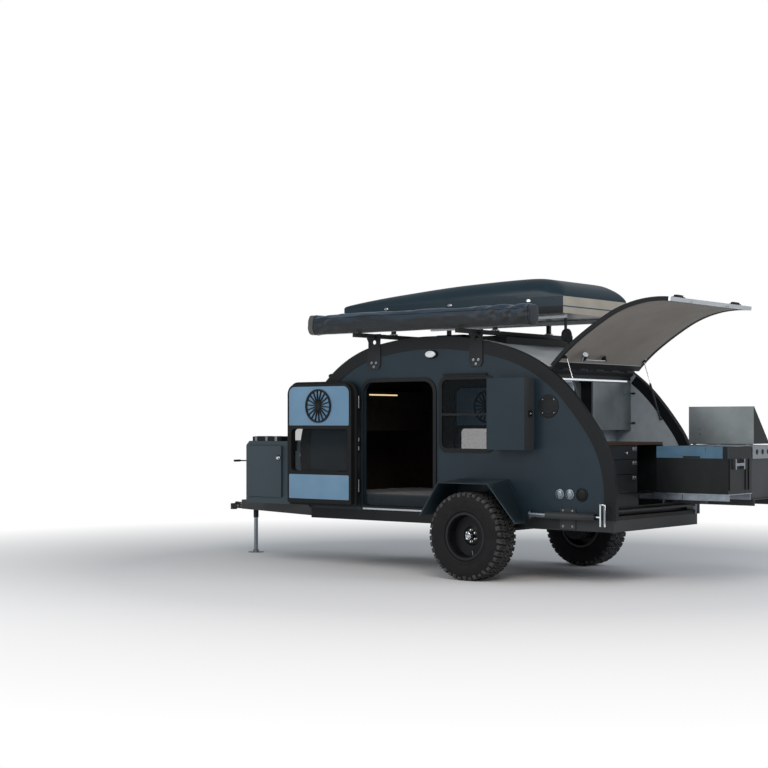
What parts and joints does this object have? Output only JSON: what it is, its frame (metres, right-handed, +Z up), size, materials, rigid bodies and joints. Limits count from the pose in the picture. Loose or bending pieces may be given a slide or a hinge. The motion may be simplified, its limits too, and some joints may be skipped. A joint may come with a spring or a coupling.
{
  "type": "teardrop camping trailer",
  "caption": "Off-road teardrop camping trailer with side doors, a lifting rear hatch over a slide-out kitchen, a roof box, a rolled awning and a tongue box.",
  "frame": {"origin": "centre of the towing ball in the coupler's socket", "axes": "+X forward to the tow vehicle, +Y to the trailer's left, +Z up"},
  "size_m": [6.133, 2.21, 2.7303],
  "materials": {
    "black_steel": "satin",
    "tyre": "rubber",
    "wheel_black": "painted",
    "floor_board": "painted",
    "body_shell": "satin",
    "roof_skin": "satin",
    "black_trim": "textured",
    "tinted_glass": "clear",
    "fender_steel": "satin",
    "birch_panel": "lacquered",
    "mattress_cloth": "woven",
    "black_board": "laminate",
    "counter_top": "oiled",
    "pale_board": "laminate",
    "zinc_steel": "zinc",
    "locker_steel": "satin",
    "awning_cloth": "coated",
    "roof_box_black": "gloss",
    "body_paint_metal": "satin",
    "pale_liner": "textured",
    "bare_aluminium": "brushed",
    "polished_rod": "polished",
    "fridge_black": "textured",
    "fridge_lid_blue": "satin",
    "stove_steel": "brushed"
  },
  "bodies": {
    "trailer": {"frame": "black_steel", "coupler": "black_steel", "axle": "black_steel", "jack_tube": "black_steel", "floor_panel": "floor_board", "left_wall": "body_shell", "right_wall": "body_shell", "roof_panel": "roof_skin", "nose_panel": "body_shell", "edge_trims": "black_trim", "opening_frames": "black_trim", "window_panes": "tinted_glass", "fenders": "fender_steel", "cabin_panels": "birch_panel", "mattress": "mattress_cloth", "galley_frame": "black_board", "counter": "counter_top", "galley_shelves": "pale_board", "slide_rails": "zinc_steel", "hatch_hinge": "black_steel", "locker": "locker_steel", "roof_rack": "black_steel", "roof_units": "black_trim", "awning_bag": "awning_cloth", "roof_box_tub": "roof_box_black", "tongue_box": "body_paint_metal"},
    "wheel_left": {"tyre_left": "tyre", "rim_left": "wheel_black"},
    "wheel_right": {"tyre_right": "tyre", "rim_right": "wheel_black"},
    "tongue_jack": {"jack_leg": "zinc_steel"},
    "door_left": {"left_door": "body_shell", "left_door_pane": "tinted_glass"},
    "door_right": {"right_door": "body_shell", "right_door_pane": "tinted_glass"},
    "hatch_leaf": {"hatch": "black_trim", "hatch_liner": "pale_liner", "hatch_edge": "bare_aluminium"},
    "strut_tube": {"strut_tubes": "black_steel"},
    "strut_rod": {"strut_rods": "polished_rod"},
    "drawer_low": {"drawer_1": "black_board"},
    "drawer_middle": {"drawer_2": "black_board"},
    "drawer_top": {"drawer_3": "black_board"},
    "runners": {"slide_runners": "zinc_steel"},
    "fridge": {"fridge_tray": "zinc_steel", "fridge_case": "fridge_black"},
    "fridge_cover": {"fridge_lid": "fridge_lid_blue"},
    "kitchen": {"pantry": "black_steel", "stove": "stove_steel"},
    "stove_cover": {"stove_lid": "stove_steel"},
    "locker_leaf": {"locker_door": "locker_steel"},
    "roof_box_cover": {"roof_box_lid": "roof_box_black"},
    "box_leaf_left": {"box_door_left": "body_paint_metal"},
    "box_leaf_right": {"box_door_right": "body_paint_metal"},
    "stabiliser_left": {"stay_tube_left": "black_steel"},
    "stabiliser_right": {"stay_tube_right": "black_steel"},
    "stabiliser_leg_left": {"stay_foot_left": "zinc_steel"},
    "stabiliser_leg_right": {"stay_foot_right": "zinc_steel"}
  },
  "joints": [
    {"name": "wheel_left_spin", "type": "hinge", "parent": "trailer", "child": "wheel_left", "pos_m": [-3.95, 0.9575, -0.084], "axis": [0, 1, 0], "continuous": true},
    {"name": "wheel_right_spin", "type": "hinge", "parent": "trailer", "child": "wheel_right", "pos_m": [-3.95, -0.9575, -0.084], "axis": [0, 1, 0], "continuous": true},
    {"name": "tongue_jack_leg", "type": "slide", "parent": "trailer", "child": "tongue_jack", "axis": [0, 0, -1], "range_m": [-0.25, 0]},
    {"name": "door_left_swing", "type": "hinge", "parent": "trailer", "child": "door_left", "pos_m": [-2.47, 0.785, 0.726], "axis": [0, 0, -1], "range_deg": [-180, 0]},
    {"name": "door_right_swing", "type": "hinge", "parent": "trailer", "child": "door_right", "pos_m": [-2.47, -0.785, 0.726], "axis": [0, 0, 1], "range_deg": [0, 180]},
    {"name": "hatch_swing", "type": "hinge", "parent": "trailer", "child": "hatch_leaf", "pos_m": [-4.65118, 0, 1.41246], "axis": [0, 1, 0], "range_deg": [-83.4, 0]},
    {"name": "strut_swing", "type": "hinge", "parent": "trailer", "child": "strut_tube", "pos_m": [-4.941, 0, 0.966], "axis": [0, -1, 0], "range_deg": [-11.85, 0]},
    {"name": "strut_stroke", "type": "slide", "parent": "strut_tube", "child": "strut_rod", "axis": [0.3034, 0, 0.9529], "range_m": [-0.17172, 0]},
    {"name": "drawer_low_slide", "type": "slide", "parent": "trailer", "child": "drawer_low", "axis": [-1, 0, 0], "range_m": [0, 0.45]},
    {"name": "drawer_middle_slide", "type": "slide", "parent": "trailer", "child": "drawer_middle", "axis": [-1, 0, 0], "range_m": [0, 0.45]},
    {"name": "drawer_top_slide", "type": "slide", "parent": "trailer", "child": "drawer_top", "axis": [-1, 0, 0], "range_m": [0, 0.45]},
    {"name": "runner_slide", "type": "slide", "parent": "trailer", "child": "runners", "axis": [-1, 0, 0], "range_m": [-0.4425, 0]},
    {"name": "fridge_slide", "type": "slide", "parent": "trailer", "child": "fridge", "axis": [-1, 0, 0], "range_m": [-0.885, 0]},
    {"name": "kitchen_slide", "type": "slide", "parent": "trailer", "child": "kitchen", "axis": [-1, 0, 0], "range_m": [-0.885, 0]},
    {"name": "fridge_cover_swing", "type": "hinge", "parent": "fridge", "child": "fridge_cover", "pos_m": [-5.617, -0.262, 0.719], "axis": [1, 0, 0], "range_deg": [0, 80]},
    {"name": "stove_cover_swing", "type": "hinge", "parent": "kitchen", "child": "stove_cover", "pos_m": [-5.75, -0.308, 0.745], "axis": [-1, 0, 0], "range_deg": [-90, 0]},
    {"name": "locker_leaf_swing", "type": "hinge", "parent": "trailer", "child": "locker_leaf", "pos_m": [-4.07, 0.892, 1.01], "axis": [0, 0, -1], "range_deg": [0, 110]},
    {"name": "roof_box_cover_swing", "type": "hinge", "parent": "trailer", "child": "roof_box_cover", "pos_m": [-3.45, -0.553, 2.07], "axis": [1, 0, 0], "range_deg": [0, 60]},
    {"name": "box_leaf_left_swing", "type": "hinge", "parent": "trailer", "child": "box_leaf_left", "pos_m": [-0.68, 0.459, 0.425], "axis": [0, 0, -1], "range_deg": [0, 100]},
    {"name": "box_leaf_right_swing", "type": "hinge", "parent": "trailer", "child": "box_leaf_right", "pos_m": [-0.68, -0.459, 0.425], "axis": [0, 0, 1], "range_deg": [0, 100]},
    {"name": "stabiliser_left_swing", "type": "hinge", "parent": "trailer", "child": "stabiliser_left", "pos_m": [-4.83, 0.802, 0.12], "axis": [0, 1, 0], "range_deg": [0, 90]},
    {"name": "stabiliser_right_swing", "type": "hinge", "parent": "trailer", "child": "stabiliser_right", "pos_m": [-4.83, -0.802, 0.12], "axis": [0, 1, 0], "range_deg": [0, 90]},
    {"name": "stabiliser_leg_left_slide", "type": "slide", "parent": "stabiliser_left", "child": "stabiliser_leg_left", "axis": [1, 0, 0], "range_m": [0, 0.24]},
    {"name": "stabiliser_leg_right_slide", "type": "slide", "parent": "stabiliser_right", "child": "stabiliser_leg_right", "axis": [1, 0, 0], "range_m": [0, 0.24]}
  ],
  "couplings": [
    {"joint": "strut_swing", "follows": "hatch_swing", "ratio": 0.14208},
    {"joint": "strut_stroke", "follows": "hatch_swing", "m_per_rad": 0.11797},
    {"joint": "runner_slide", "follows": "hatch_swing", "m_per_rad": 0.304},
    {"joint": "fridge_slide", "follows": "hatch_swing", "m_per_rad": 0.60799},
    {"joint": "kitchen_slide", "follows": "hatch_swing", "m_per_rad": 0.60799},
    {"joint": "stove_cover_swing", "follows": "hatch_swing", "ratio": 1.0791},
    {"joint": "stabiliser_leg_left_slide", "follows": "stabiliser_left_swing", "m_per_rad": 0.15279},
    {"joint": "stabiliser_leg_right_slide", "follows": "stabiliser_right_swing", "m_per_rad": 0.15279}
  ]
}
